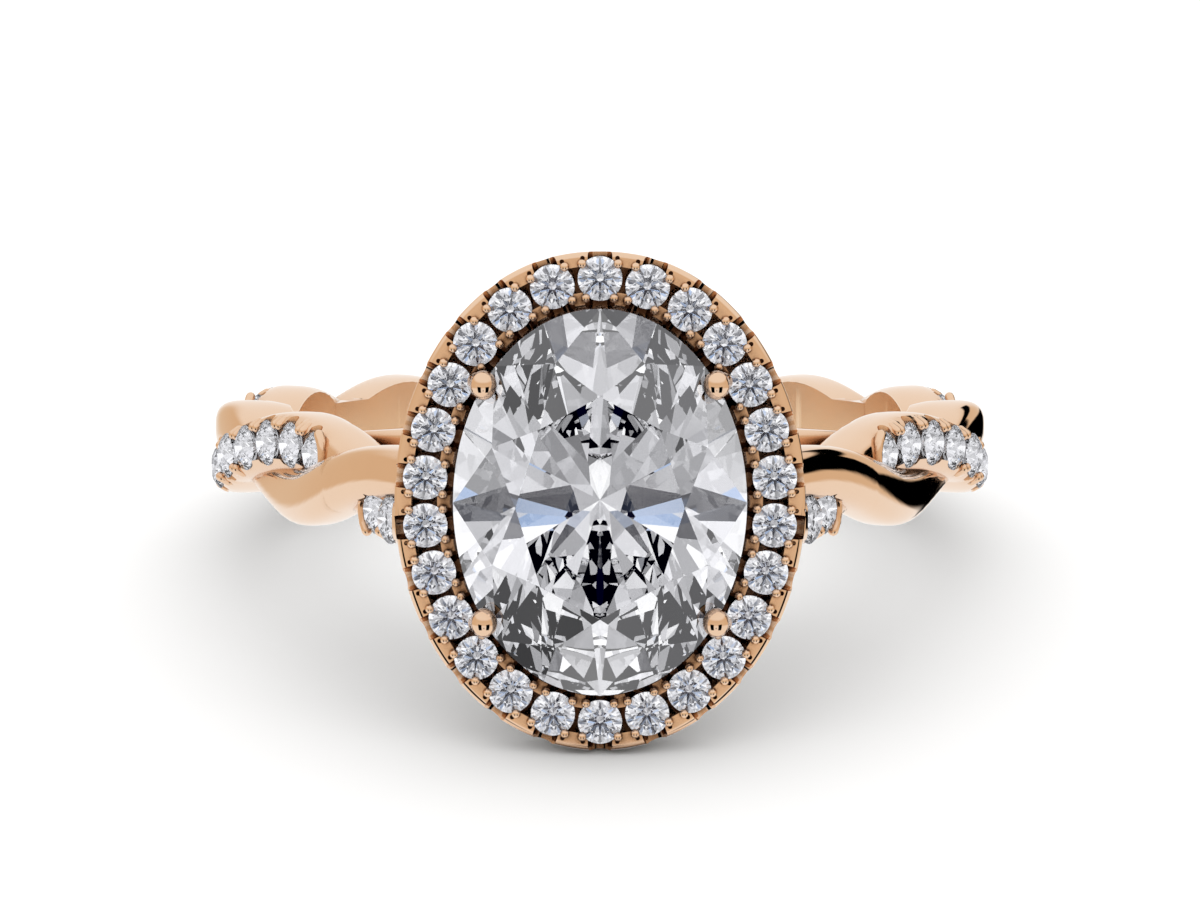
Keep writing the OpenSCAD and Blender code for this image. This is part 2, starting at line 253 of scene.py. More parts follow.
def inner_stretch(s):
    drawn_back = np.maximum(1, INNER_STRETCH - (INNER_STRETCH - 1) * s / EASE_LEN)
    return np.where(s < 0, INNER_STRETCH, drawn_back)


def width_share(s):
    rows = [(BACK_S, BACK_SHARE), (-NARROW_FROM * MID_R, BACK_SHARE), (WIDEST_FROM * MID_R, 1),
            (WIDEST_TO * MID_R, 1), (END_S - STRAND_WIDTH, HALO_END_SHARE), (END_S, HALO_END_SHARE)]
    share = np.full(np.shape(s), float(HALO_END_SHARE))
    for (a, share_a), (b, share_b) in reversed(list(zip(rows, rows[1:]))):
        x = (s - a) / (b - a)
        share = np.where(s < b, share_a + (share_b - share_a) * (1 - np.cos(np.pi * x)) / 2, share)
    return share


# Section of a strand, of unit size: a circle drawn towards a square
def unit_size(p):
    return (np.abs(p[..., 0]) ** STRAND_SQUARE + np.abs(p[..., 1]) ** STRAND_SQUARE) ** (1 / STRAND_SQUARE)


def unit_edge(a):
    p = np.stack([np.cos(a), np.sin(a)], -1)
    return p / unit_size(p)[..., None]


def crease(c, a, b):
    """Angle round the strand at c where its edge meets the other strand's edge."""
    for _ in range(30):
        mid = (a + b) / 2
        outside = unit_size(2 * c + unit_edge(mid)) > 1
        a, b = np.where(outside, mid, a), np.where(outside, b, mid)
    return (a + b) / 2


def pair_outline(s, steps):
    """Outline of both strands at each s, as outward and sideways distances."""
    turn = pair_turn(s) * DEG
    c = np.stack([ORBIT_OUT / STRAND_OUT * np.cos(turn), WIDEST_ORBIT / WIDEST_SIDE * np.sin(turn)], -1)
    toward = np.arctan2(c[:, 1], c[:, 0])
    start = crease(c, toward, toward - np.pi)
    end = crease(c, toward, toward + np.pi)
    rings = []
    for side in (1, -1):
        for i in range(steps):
            p = side * (c + unit_edge(start + (end - start) * i / steps))
            out = p[:, 0] * STRAND_OUT * np.where(p[:, 0] < 0, inner_stretch(s), 1)
            rings.append(np.stack([out, p[:, 1] * WIDEST_SIDE * width_share(s)], -1))
    return np.stack(rings, 1)


def tube(rings, loop=False):
    """Quads along a row of rings, each of shape (points, 3), closed by flat caps or as a loop."""
    count, around = rings.shape[:2]
    verts = rings.reshape(-1, 3)
    r, i = np.meshgrid(np.arange(count - 1), np.arange(around), indexing="ij")
    a = (r * around + i).ravel()
    b = (r * around + (i + 1) % around).ravel()
    faces = np.stack([a, a + around, b + around, b], -1).tolist()
    last = (count - 1) * around
    if loop:
        faces += [[last + i, i, (i + 1) % around, last + (i + 1) % around] for i in range(around)]
    else:
        faces += [list(range(around)), list(range(count * around - 1, last - 1, -1))]
    return verts, faces


# Solids in millimetres, in the upright ring's frame, joined and cut as one mesh
scratch = bpy.data.collections.new("scratch")
bpy.context.scene.collection.children.link(scratch)


def solid(name, verts, faces):
    mesh = bpy.data.meshes.new(name)
    mesh.from_pydata(np.asarray(verts).tolist(), [], faces)
    bm = bmesh.new()
    bm.from_mesh(mesh)
    bmesh.ops.recalc_face_normals(bm, faces=bm.faces)
    bm.to_mesh(mesh)
    bm.free()
    obj = bpy.data.objects.new(name, mesh)
    scratch.objects.link(obj)
    return obj


def combine(base, others, operation):
    """base with the others added to it or cut from it."""
    group = bpy.data.collections.new("group")
    for other in others:
        group.objects.link(other)
    modifier = base.modifiers.new("combine", "BOOLEAN")
    modifier.operation = operation
    modifier.solver = "MANIFOLD"
    modifier.operand_type = "COLLECTION"
    modifier.collection = group
    shown = bpy.context.evaluated_depsgraph_get()
    shown.update()
    mesh = bpy.data.meshes.new_from_object(base.evaluated_get(shown))
    base.modifiers.clear()
    base.data = mesh
    for other in others:
        bpy.data.objects.remove(other)
    bpy.data.collections.remove(group)
    return base


def placed(verts, origin, across, along, up):
    """Points given as across, along and up distances, set in a local frame."""
    axes = np.stack([np.asarray(across, float), np.asarray(along, float), np.asarray(up, float)])
    return np.asarray(verts) @ axes + np.asarray(origin, float)


def turned(profile, steps=48):
    """A solid of revolution: profile rows are radius and height, from the lower to the upper pole."""
    a = np.arange(steps) * 2 * np.pi / steps
    verts, rows = [], []
    for r, z in profile:
        if r < 1e-9:
            rows.append([len(verts)] * steps)
            verts.append((0, 0, z))
        else:
            rows.append(list(range(len(verts), len(verts) + steps)))
            verts += [(r * math.cos(t), r * math.sin(t), z) for t in a]
    faces = []
    for low, high in zip(rows, rows[1:]):
        for i in range(steps):
            j = (i + 1) % steps
            corners = [low[i], low[j], high[j], high[i]]
            faces.append(list(dict.fromkeys(corners)))
    return np.array(verts), faces


def cylinder(r, low, high, steps):
    return turned([(0, low), (r, low), (r, high), (0, high)], steps)


def capsule(name, a, b, r1, r2, steps=20, rings=6):
    """A round rod from a to b with ball ends."""
    a, b = np.asarray(a, float), np.asarray(b, float)
    length = np.linalg.norm(b - a)
    up = (b - a) / length
    side = np.cross(up, [0, 0, 1] if abs(up[2]) < 0.9 else [1, 0, 0])
    side /= np.linalg.norm(side)
    arc = np.linspace(-90, 0, rings) * DEG
    profile = [(r1 * math.cos(t), r1 * math.sin(t)) for t in arc]
    profile += [(r2 * math.cos(t), length - r2 * math.sin(t)) for t in arc[::-1]]
    verts, faces = turned(profile, steps)
    return solid(name, placed(verts, a, side, np.cross(up, side), up), faces)


def round_seat(d, deep, top):
    """Room for a round stone: a scoop above the girdle, a cone below it and a light hole under that."""
    hole = LIGHT_HOLE * d
    r, edge = d / 2 + STONE_GAP, EDGE * d / 2 + STONE_GAP
    fall = PAVILION * d * (1 - hole / r)
    return turned([(0, -deep), (hole, -deep), (hole, -edge - fall), (r, -edge), (r, edge),
                   (r + SEAT_SCOOP, edge + SEAT_SCOOP), (r + SEAT_SCOOP, edge + top), (0, edge + top)])


def round_room(d):
    """Room for the body of a round brilliant, up to its table."""
    edge = EDGE * d / 2
    r, table = d / 2 + STONE_GAP, edge + CROWN * d + STONE_GAP
    point = -edge - PAVILION * d - STONE_GAP
    return turned([(0, point), (r, -edge), (r, edge), (TABLE * r, table), (0, table)])


# Shank
def strand_skin(steps=22, station=0.12):
    """Both strands as one skin, from one end round the back to the other."""
    half = np.linspace(END_S, BACK_S, int((END_S - BACK_S) / station))
    outline = pair_outline(half, steps)
    rings = path_mid(half)[:, None] + outline[..., :1] * path_out(half)[:, None]
    rings[..., :2] *= SKIN_SHARE
    rings[..., 2] += outline[..., 1]
    mirrored = rings[-2::-1] * [-1, 1, 1]
    return solid("shank", *tube(np.concatenate([rings, mirrored])))


def rounded_box(half_w, low, high, blend, steps=6):
    """Outline of a box with rounded corners, as outward and sideways distances."""
    corners = [(high - blend, half_w - blend, 0), (high - blend, blend - half_w, -90),
               (low + blend, blend - half_w, -180), (low + blend, half_w - blend, -270)]
    return np.array([(x + blend * math.cos(a * DEG), y + blend * math.sin(a * DEG))
                     for x, y, start in corners for a in np.linspace(start + 90, start, steps)])


def hoop(name, outline, start, end, steps, end_share=1.0):
    """An outline swept round the finger hole between two angles from the head, drawn in at its ends."""
    whole = end - start >= 360
    a = np.linspace(start, end, steps, endpoint=not whole) * DEG
    most, rate = BRIDGE_DRAWN
    share = end_share + (1 - end_share) * np.clip(most * np.cos(rate * a), 0, 1)
    out = np.stack([np.sin(a), -np.cos(a), 0 * a], -1)
    beyond = outline[None, :, 0] - FINGER_R
    rings = (FINGER_R + beyond * share[:, None])[..., None] * out[:, None]
    rings[..., 2] += outline[:, 1] * share[:, None]
    return solid(name, *tube(rings, loop=whole))


def pave_places():
    s = np.arange(END_S - PAVE_INSET, BACK_S, -PAVE_PITCH)
    s = s[(path_at(s) <= PAVE_LAST * DEG) & (np.abs(facing_turn(s)) <= PAVE_TURN)]
    return np.where(s > END_S / 2, s + PAVE_FIRST_SHIFT, s)


def strand_frame(s):
    """Top of the pave strand at s, at the level of its stones' girdles, with its three directions."""
    s = np.asarray(s, float)
    turn = pair_turn(s) * DEG
    out = path_out(s)
    rise = ORBIT_OUT * np.cos(turn) + STRAND_OUT - PAVE_SINK
    origin = path_mid(s) + rise * out
    origin = origin + np.array([0, 0, 1]) * WIDEST_ORBIT * width_share(s) * np.sin(turn)
    along = np.array([-out[1], out[0], 0.0])
    return origin, along, np.array([0, 0, 1.0]), out


def pave_groups():
    """The pave stones in runs of neighbours."""
    groups = [[PAVE_S[0]]]
    for s in PAVE_S[1:]:
        if groups[-1][-1] - s > PAVE_RUN_GAP * PAVE_PITCH:
            groups.append([])
        groups[-1].append(s)
    return groups


def pave_channels(mirror):
    """A channel under each run of stones, so that no wall stands between them."""
    channels = []
    half, high, low = PAVE_CHANNEL_W / 2, PAVE_CHANNEL_H, -PAVE_CHANNEL_DEEP
    box = [(half, high), (-half, high), (-half, low), (half, low)]
    for group in pave_groups():
        rings = []
        for s in np.linspace(group[0], group[-1], PAVE_CHANNEL_STEPS * len(group)):
            origin, along, aside, out = strand_frame(s)
            rings.append([origin + aside * x + out * z for x, z in box])
        channels.append(solid("channel", *tube(np.array(rings) * [mirror, 1, 1])))
    return channels


def toward_other(s):
    """Which way along the finger the plain strand lies from the pave strand, and how far that is."""
    offset = math.sin(pair_turn(np.asarray(s, float)) * DEG)
    return -math.copysign(1, offset), abs(offset)


def pave_cuts(mirror):
    """Seats of the pave stones, and the round cuts across the strand that leave its pillars."""
    cuts = []
    flip = np.array([mirror, 1, 1])
    for s in PAVE_S:
        origin, along, aside, out = strand_frame(s)
        verts, faces = round_seat(PAVE_CUT_D, PAVE_CUT_D / 2, PAVE_CROWN_ROOM)
        cuts.append(solid("seat", placed(verts, origin, along, aside, out) * flip, faces))
        reach = WIDEST_SIDE * width_share(s) + PAVE_CUT_OVER
        other, far = toward_other(s)
        short = reach if far < PAVE_CUT_NEAR else PAVE_CUT_D / 2 - PAVE_CUT_SHORT
        low, high = (reach, short) if other > 0 else (short, reach)
        verts, faces = cylinder(PAVE_CUT_R, -low, high, steps=40)
        centre = origin + out * PAVE_CUT_RISE
        cuts.append(solid("u_cut", placed(verts, centre, along, -out, aside) * flip, faces))
    return cuts


def pave_ribs(mirror):
    """Pairs of ribs on the pillars between the pave stones, rounded over the edge of the strand."""
    ribs = []
    flip = np.array([mirror, 1, 1])
    for middle in [(a + b) / 2 for group in pave_groups() for a, b in zip(group, group[1:])]:
        origin, along, aside, out = strand_frame(middle)
        share = width_share(middle)
        other, far = toward_other(middle)
        for side in (-1, 1):
            if side == other and far > RIB_NEAR:
                continue
            for pair in (-1, 1):
                base = origin + along * pair * RIB_PAIR / 2
                top = base + aside * side * RIB_IN * share + out * RIB_RISE
                low = base + aside * side * RIB_OUT * share + out * (RIB_RISE - RIB_FALL)
                ribs.append(capsule("rib", top * flip, low * flip, RIB_D / 2, RIB_D / 2))
    return ribs


def pave_ends(mirror):
    """A round edge in an arc round the outer side of the last stone of each run."""
    rims = []
    flip = np.array([mirror, 1, 1])
    reach = PAVE_CUT_D / 2 + END_RIM_OFF
    for group in pave_groups():
        for s, way in ((group[0], 1), (group[-1], -1)):
            if s > END_S / 2 and way > 0:
                continue
            origin, along, aside, out = strand_frame(s)
            other, _ = toward_other(s)
            centre = origin + out * END_RIM_RISE
            points = [centre + (-way * along * math.cos(t) + aside * math.sin(t)) * reach
                      for t in other * np.linspace(-END_RIM_ARC[0], END_RIM_ARC[1], 8) * DEG]
            for a, b in zip(points, points[1:]):
                rims.append(capsule("end", a * flip, b * flip, END_RIM_R, END_RIM_R, steps=12, rings=4))
    return rims


# Head: level planes stand across the head's axis
def level_point(x, y, v):
    return np.stack([x, -v + 0 * x, y], -1)


LINE_W = STONE_W / 2 + HALO_OFF
LINE_L = STONE_L / 2 + HALO_OFF
line_angles = np.linspace(0, 2 * np.pi, 1441)
line_steps = np.hypot(LINE_W * np.diff(np.cos(line_angles)), LINE_L * np.diff(np.sin(line_angles)))
line_runs = np.concatenate([[0], np.cumsum(line_steps)])
LINE_LEN = line_runs[-1]


def line_angle(turns):
    return np.interp((np.asarray(turns, float) + 0.25) % 1 * LINE_LEN, line_runs, line_angles)


def line_normal(turns):
    a = line_angle(turns)
    n = np.stack([LINE_L * np.cos(a), LINE_W * np.sin(a)], -1)
    return n / np.linalg.norm(n, axis=-1, keepdims=True)


def line_point(turns, beside):
    a = line_angle(turns)
    beside = np.asarray(beside, float)[..., None]
    return np.stack([LINE_W * np.cos(a), LINE_L * np.sin(a)], -1) + beside * line_normal(turns)


def oval_ring(name, section, steps=416):
    """A section of beside and level distances and shares of the lip, swept round the halo."""
    turns = np.arange(steps) / steps
    rings = []
    across = line_point(turns, np.zeros(steps))[:, 0]
    lip = LIP - (LIP - LIP_TOP) * np.exp(-(across / LIP_TOP_REACH) ** 2) * (np.cos(2 * np.pi * turns) > 0)
    for beside, v, share in section:
        p = line_point(turns, beside + share * lip)
        rings.append(level_point(p[:, 0], p[:, 1], v))
    return solid(name, *tube(np.stack(rings, 1), loop=True))


def halo_frame(turns):
    """Middle of the halo's face at a share of its round, with the directions there."""
    p, n = line_point(turns, 0.0), line_normal(turns)
    origin = np.array([p[0], -HALO_V, p[1]])
    outward = np.array([n[0], 0, n[1]])
    up = np.array([0, -1.0, 0])
    return origin, outward, np.cross(up, outward), up


def halo_u_cut(i, reach):
    """The round cut that crosses the halo at a stone, up to a reach outside its middle line."""
    origin, outward, along, up = halo_frame(i / HALO_N)
    verts, faces = cylinder(U_CUT_R, -HALO_D, reach, steps=40)
    return solid("u_cut", placed(verts, origin + up * U_CUT_RISE, along, up, outward), faces)


def gap_frames(i, offsets, pair_gap):
    """Frames in the gap after a halo stone: a pair of places at each distance beside the line."""
    for beside in offsets:
        for pair in (-1, 1):
            turns = (i + 0.5) / HALO_N + pair * pair_gap / 2 / LINE_LEN
            origin, outward, along, up = halo_frame(turns)
            yield origin + outward * beside, outward, along, up


def halo_plate():
    """The halo's wall with a rounded rim, cut by its groove, the seats and a round cut at each stone."""
    low, high = HALO_BACK_V, HALO_V
    foot = [(HALO_OUT - inward, low + rise, 0) for inward, rise in HALO_FOOT]
    wall = [(HALO_OUT, high - LIP_H, 0), (HALO_OUT, high - LIP_H * LIP_BEND[0], LIP_BEND[1])]
    rim = [(HALO_OUT - RIM_ROUND + RIM_ROUND * math.cos(a), high - RIM_ROUND + RIM_ROUND * math.sin(a), 1)
           for a in np.linspace(0, 90, 7) * DEG]
    inner = [(INNER_ROUND - HALO_IN - INNER_ROUND * math.cos(a),
              high - INNER_ROUND + INNER_ROUND * math.sin(a), 0) for a in np.linspace(90, 0, 6) * DEG]
    inner_foot = [(-HALO_IN, low + HALO_INNER_FOOT, 0), (HALO_INNER_FOOT - HALO_IN, low, 0)]
    plate = oval_ring("halo", foot + wall + rim + inner + inner_foot)
    half = GROOVE_W / 2
    bottom = high - GROOVE_DEEP
    groove = [(half, high + 1, 0), (-half, high + 1, 0), (-half, bottom, 0), (half, bottom, 0)]
    cuts = [oval_ring("groove", groove)]
    for i in range(HALO_N):
        origin, outward, along, up = halo_frame(i / HALO_N)
        verts, faces = round_seat(HALO_CUT_D, 2 * HALO_H, HALO_D)
        cuts.append(solid("seat", placed(verts, origin, outward, along, up), faces))
        cuts.append(halo_u_cut(i, HALO_D))
        verts, faces = cylinder(WINDOW_R, 0, HALO_D, steps=32)
        window = origin - up * HALO_H * WINDOW_DOWN + outward * HALO_D / 4
        cuts.append(solid("window", placed(verts, window, along, up, outward), faces))
        for place in gap_frames(i, PIT_OFF, PIT_PAIR):
            verts, faces = cylinder(PIT_R, -PIT_DEEP, PIT_DEEP, steps=12)
            cuts.append(solid("pit", placed(verts, *place), faces))
    return combine(plate, cuts, "DIFFERENCE")


def halo_beads():
    """Two pairs of beads in each gap between two halo stones."""
    beads = []
    r = HALO_BEAD_D / 2
    for i in range(HALO_N):
        for origin, _, _, up in gap_frames(i, HALO_BEAD_OFF, HALO_BEAD_PAIR):
            top = origin + up * HALO_BEAD_RISE
            beads.append(capsule("bead", top, top - up * HALO_BEAD_DEEP, r, r, steps=16, rings=5))
    return beads


CLAW_W = STONE_W / 2 * math.cos(CLAW_ANGLE * DEG)
CLAW_L = STONE_L / 2 * math.sin(CLAW_ANGLE * DEG)
CLAW_FOOT_V = FINGER_R + BRIDGE_THICK / 2
HEAD_AXES = ((1, 0, 0), (0, 0, 1), (0, -1, 0))


def claws():
    """Four round rods from the bridge to the girdle, with necks and egg-shaped tips."""
    rods = []
    r, foot_r, tip_r = CLAW_D / 2, CLAW_FOOT * CLAW_D / 2, CLAW_EGG[0]
    ball = [(tip_r * math.cos(a), tip_r * math.sin(a)) for a in np.linspace(-90, 90, 25) * DEG]
    egg_verts, egg_faces = turned(ball)
    egg_verts[:, 1] *= CLAW_EGG[1] / CLAW_EGG[0]
    for side in (-1, 1):
        for end in (-1, 1):
            foot = (side * CLAW_FOOT_W, -CLAW_FOOT_V, end * CLAW_FOOT_L)
            neck = (side * (CLAW_W + CLAW_OUT), -GIRDLE_V, end * (CLAW_L + CLAW_OUT))
            tip = np.array([side * CLAW_W, -GIRDLE_V - GIRDLE / 2 - CLAW_RISE, end * CLAW_L])
            rods.append(capsule("claw", foot, neck, foot_r, r, steps=32, rings=8))
            rods.append(capsule("neck", neck, tip, r, r, steps=32, rings=8))
            egg = tip + np.array([side * CLAW_EGG_SHIFT[0], 0, end * CLAW_EGG_SHIFT[1]])
            rods.append(solid("tip", placed(egg_verts, egg, *HEAD_AXES), egg_faces))
    return rods


def rail():
    """The rail round the claws, under the stone."""
    share = (RAIL_V - CLAW_FOOT_V) / (GIRDLE_V - CLAW_FOOT_V)
    scale = math.hypot((CLAW_FOOT_W + (CLAW_W - CLAW_FOOT_W) * share) / STONE_W,
                       (CLAW_FOOT_L + (CLAW_L - CLAW_FOOT_L) * share) / STONE_L)
    half = RAIL_T / 2
    section = rounded_box(half, -half, half, EDGE_ROUND)
    a = np.arange(RAIL_STEPS) * 2 * np.pi / RAIL_STEPS
    rings = []
    for beside, rise in section:
        rings.append(level_point((scale * STONE_W + beside) * np.cos(a),
                                 (scale * STONE_L + beside) * np.sin(a), RAIL_V + rise))
    return solid("rail", *tube(np.stack(rings, 1), loop=True))


# Stones
def brilliant(w, l, edge, sides):
    """A brilliant cut by its facet planes from a round or oval block, with its girdle at the origin."""
    crown, depth, g = CROWN * w, PAVILION * w, edge / 2
    step = 22.5
    crown_fall = (1 - CROWN_MID * math.cos(step * DEG)) / (1 - TABLE)
    pavilion_fall = 1 - PAVILION_MID * math.cos(step * DEG)

    def at(turn, share, z):
        return Vector((share * math.cos(turn * DEG), share * math.sin(turn * DEG), z))

    block = bmesh.new()
    a = np.arange(sides) * 2 * np.pi / sides
    rims = [[block.verts.new((math.cos(t), math.sin(t), z)) for t in a] for z in (-g - depth, g + crown)]
    block.faces.new(rims[0][::-1])
    block.faces.new(rims[1])
    for i in range(sides):
        j = (i + 1) % sides
        block.faces.new([rims[0][i], rims[0][j], rims[1][j], rims[1][i]])
    planes = []
    culet = Vector((0, 0, -g - depth))
    for k in range(8):
        turn = 2 * step * k
        table = [at(turn + side, TABLE, g + crown) for side in (0, 2 * step)]
        middle = at(turn + step, CROWN_MID, g + crown * crown_fall)
        low_middle = at(turn + step, PAVILION_MID, -g - depth * pavilion_fall)
        planes.append((at(turn, TABLE, g + crown), at(turn, 1, g), at(turn + 90, 1, 0) - at(turn, 0, 0)))
        planes.append((table[0], middle, table[1] - middle))
        planes.append((culet, at(turn, 1, -g), at(turn + 90, 1, 0) - at(turn, 0, 0)))
        for near, far in ((turn, turn + step), (turn + step, turn + 2 * step)):
            planes.append((at(near, 1, g), at(far, 1, g), middle - at(near, 1, g)))
            planes.append((at(near, 1, -g), at(far, 1, -g), low_middle - at(near, 1, -g)))
    for first, second, other in planes:
        normal = (second - first).cross(other).normalized()
        if normal.dot(first) < 0:
            normal = -normal
        parts = block.verts[:] + block.edges[:] + block.faces[:]
        cut = bmesh.ops.bisect_plane(block, geom=parts, plane_co=first, plane_no=normal, clear_outer=True,
                                     dist=1e-7)
        rim = [e for e in cut["geom_cut"] if isinstance(e, bmesh.types.BMEdge)]
        if len(rim) > 2:
            bmesh.ops.contextual_create(block, geom=rim)
    bmesh.ops.remove_doubles(block, verts=block.verts, dist=1e-4)
    bmesh.ops.recalc_face_normals(block, faces=block.faces)
    verts = np.array([v.co for v in block.verts]) * [w / 2, l / 2, 1]
    faces = [[v.index for v in f.verts] for f in block.faces]
    block.free()
    return verts, faces


# Materials
class Graph:
    """Short calls for a node tree: add a node, set its inputs, link what is itself a socket."""

    def __init__(self, tree):
        self.tree = tree
        tree.nodes.clear()

    def node(self, kind, out=0, settings=None, **inputs):
        node = self.tree.nodes.new(kind)
        for name, value in (settings or {}).items():
            setattr(node, name, value)
        for name, value in inputs.items():
            socket = node.inputs[int(name[1:])] if name[0] == "_" else node.inputs[name.replace("_", " ")]
            if isinstance(value, bpy.types.NodeSocket):
                self.tree.links.new(value, socket)
            else:
                socket.default_value = value
        return node.outputs[out] if out is not None else node

    def math(self, operation, a, b=0.0, c=0.0):
        return self.node("ShaderNodeMath", settings={"operation": operation}, _0=a, _1=b, _2=c)

    def ramp(self, value, low, high, to_low=0.0, to_high=1.0):
        return self.node("ShaderNodeMapRange", settings={"interpolation_type": "SMOOTHSTEP"},
                         Value=value, From_Min=low, From_Max=high, To_Min=to_low, To_Max=to_high)

    def mix(self, factor, a, b):
        return self.node("ShaderNodeMix", out=2, settings={"data_type": "RGBA"}, _0=factor, _6=a, _7=b)


BLACK = (0.0, 0.0, 0.0, 1)
WHITE = (1, 1, 1, 1)
ROSE_GOLD = (0.83, 0.60, 0.43, 1)
ROSE_GOLD_CLOUD = (0.80, 0.57, 0.40, 1)
# Painted shade: a deeper, redder gold mixed into creases by how little open air is round them
ROSE_GOLD_PAINTED_SHADE = (0.74, 0.42, 0.24, 1)
ROSE_GOLD_LIGHT = (0.92, 0.74, 0.58, 1)
# Painted shadow: near-black mixed into the deepest creases
CREASE_PAINTED_SHADOW = (0.03, 0.012, 0.006, 1)
NOISE_RANGE = (0.3, 0.7)
CLOUD_SHARE = 0.25
POLISH = (0.02, 0.045)
SATIN = 0.2
INNER_WALL_FADE = (0.01, 0.03)
HALO_FADE = 0.1
DIAMOND_IOR = 2.417
CENTRE_TINT = (0.985, 0.99, 1.0, 1)
SMALL_TINT = (0.98, 0.985, 1.0, 1)
FLOOR_GREYS = ((0.9, 0.9, 0.9, 1), (0.92, 0.92, 0.92, 1))

# Shares of open air between which a crease gets painted shade in a deeper colour, and then a dark painted
# shadow
DEEP_FROM = 0.5
DEEP_TO = 0.9
PAINTED_SHADOW_FROM = (0.3, 0.42)
PAINTED_SHADOW_TO = (0.56, 0.7)


def new_material(name):
    material = bpy.data.materials.new(name)
    material.use_nodes = True
    graph = Graph(material.node_tree)
    return material, graph, graph.node("ShaderNodeTexCoord", out=3)


def polished_gold():
    """Polished rose gold, satin on the inner wall, with painted shade and painted shadow in its creases."""
    material, g, where = new_material("rose_gold_polished")
    cloudy = g.node("ShaderNodeTexNoise", Vector=where, Scale=900.0, Detail=1.0)
    fine = g.node("ShaderNodeTexNoise", Vector=where, Scale=9000.0, Detail=1.0)
    place = g.node("ShaderNodeMapping", settings={"vector_type": "TEXTURE"}, Vector=where,
                   Location=at_rest.translation, Rotation=at_rest.to_euler(), Scale=(MM, MM, MM))
    x, y, z = g.node("ShaderNodeSeparateXYZ", out=None, Vector=place).outputs
    radius = g.math("SQRT", g.math("ADD", g.math("MULTIPLY", x, x), g.math("MULTIPLY", y, y)))
    inner_wall = g.ramp(radius, FINGER_R + INNER_WALL_FADE[0], FINGER_R + INNER_WALL_FADE[1], 1.0, 0.0)
    in_halo = g.ramp(y, -HALO_BACK_V - HALO_FADE, HALO_FADE - HALO_BACK_V, 1.0, 0.0)
    # Painted shade from ambient occlusion: the colour deepens and then turns near-black in creases; the
    # crease mask also raises roughness
    open_air = g.node("ShaderNodeAmbientOcclusion", out=1, settings={"samples": 4}, Distance=MM)
    hidden = g.ramp(open_air, DEEP_FROM, DEEP_TO, 1.0, 0.0)
    shadow_from = g.ramp(in_halo, 0.0, 1.0, *PAINTED_SHADOW_FROM)
    shadow_to = g.ramp(in_halo, 0.0, 1.0, *PAINTED_SHADOW_TO)
    dark = g.ramp(open_air, shadow_from, shadow_to, 1.0, 0.0)
    tone = g.mix(g.ramp(cloudy, *NOISE_RANGE, 0.0, CLOUD_SHARE), ROSE_GOLD, ROSE_GOLD_CLOUD)
    tone = g.mix(inner_wall, g.mix(hidden, tone, ROSE_GOLD_PAINTED_SHADE), ROSE_GOLD_LIGHT)
    colour = g.mix(dark, tone, CREASE_PAINTED_SHADOW)
    polish = g.ramp(fine, *NOISE_RANGE, *POLISH)
    creased = g.math("MULTIPLY", hidden, g.math("SUBTRACT", 1.0, in_halo))
    roughness = g.math("MULTIPLY_ADD", g.math("MAXIMUM", inner_wall, creased), SATIN, polish)
    shader = g.node("ShaderNodeBsdfPrincipled", Base_Color=colour, Metallic=1.0, Roughness=roughness)
    g.node("ShaderNodeOutputMaterial", out=None, Surface=shader)
    return material


def diamond(name, tint):
    material, g, where = new_material(name)
    cloudy = g.node("ShaderNodeTexNoise", Vector=where, Scale=700.0, Detail=0.0)
    colour = g.mix(cloudy, WHITE, tint)
    shader = g.node("ShaderNodeBsdfPrincipled", Base_Color=colour, Roughness=0.0, IOR=DIAMOND_IOR,
                    Transmission_Weight=1.0)
    g.node("ShaderNodeOutputMaterial", out=None, Surface=shader)
    return material


def floor_material():
    material, g, where = new_material("floor_white")
    cloudy = g.node("ShaderNodeTexNoise", Vector=where, Scale=40.0)
    colour = g.mix(cloudy, *FLOOR_GREYS)
    shader = g.node("ShaderNodeBsdfPrincipled", Base_Color=colour, Roughness=1.0, Specular_IOR_Level=0.0)
    g.node("ShaderNodeOutputMaterial", out=None, Surface=shader)
    return material


# Building the pieces in the frame
def stone_piece(name, verts, faces, material, node):
    mesh = bpy.data.meshes.new(name)
    mesh.from_pydata(np.asarray(verts).tolist(), [], faces)
    piece(name, mesh, material, node)


def piece(name, mesh, material, node, smooth_under=None):
    """A visible piece from a mesh of the upright ring, flat or smooth under an angle in degrees."""
    mesh.transform(at_rest)
    mesh.materials.clear()
    mesh.materials.append(material)
    if smooth_under:
        mesh.polygons.foreach_set("use_smooth", [True] * len(mesh.polygons))
        mesh.set_sharp_from_angle(angle=smooth_under * DEG)
    else:
        mesh.polygons.foreach_set("use_smooth", [False] * len(mesh.polygons))
    obj = bpy.data.objects.new(name, mesh)
    bpy.context.scene.collection.objects.link(obj)
    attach(obj, "root")
    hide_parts(node)
    return obj


def level_prism(name, points, low, high):
    """A block with level ends over an outline given as across and along distances."""
    return solid(name, *tube(np.stack([level_point(points[:, 0], points[:, 1], v) for v in (low, high)])))


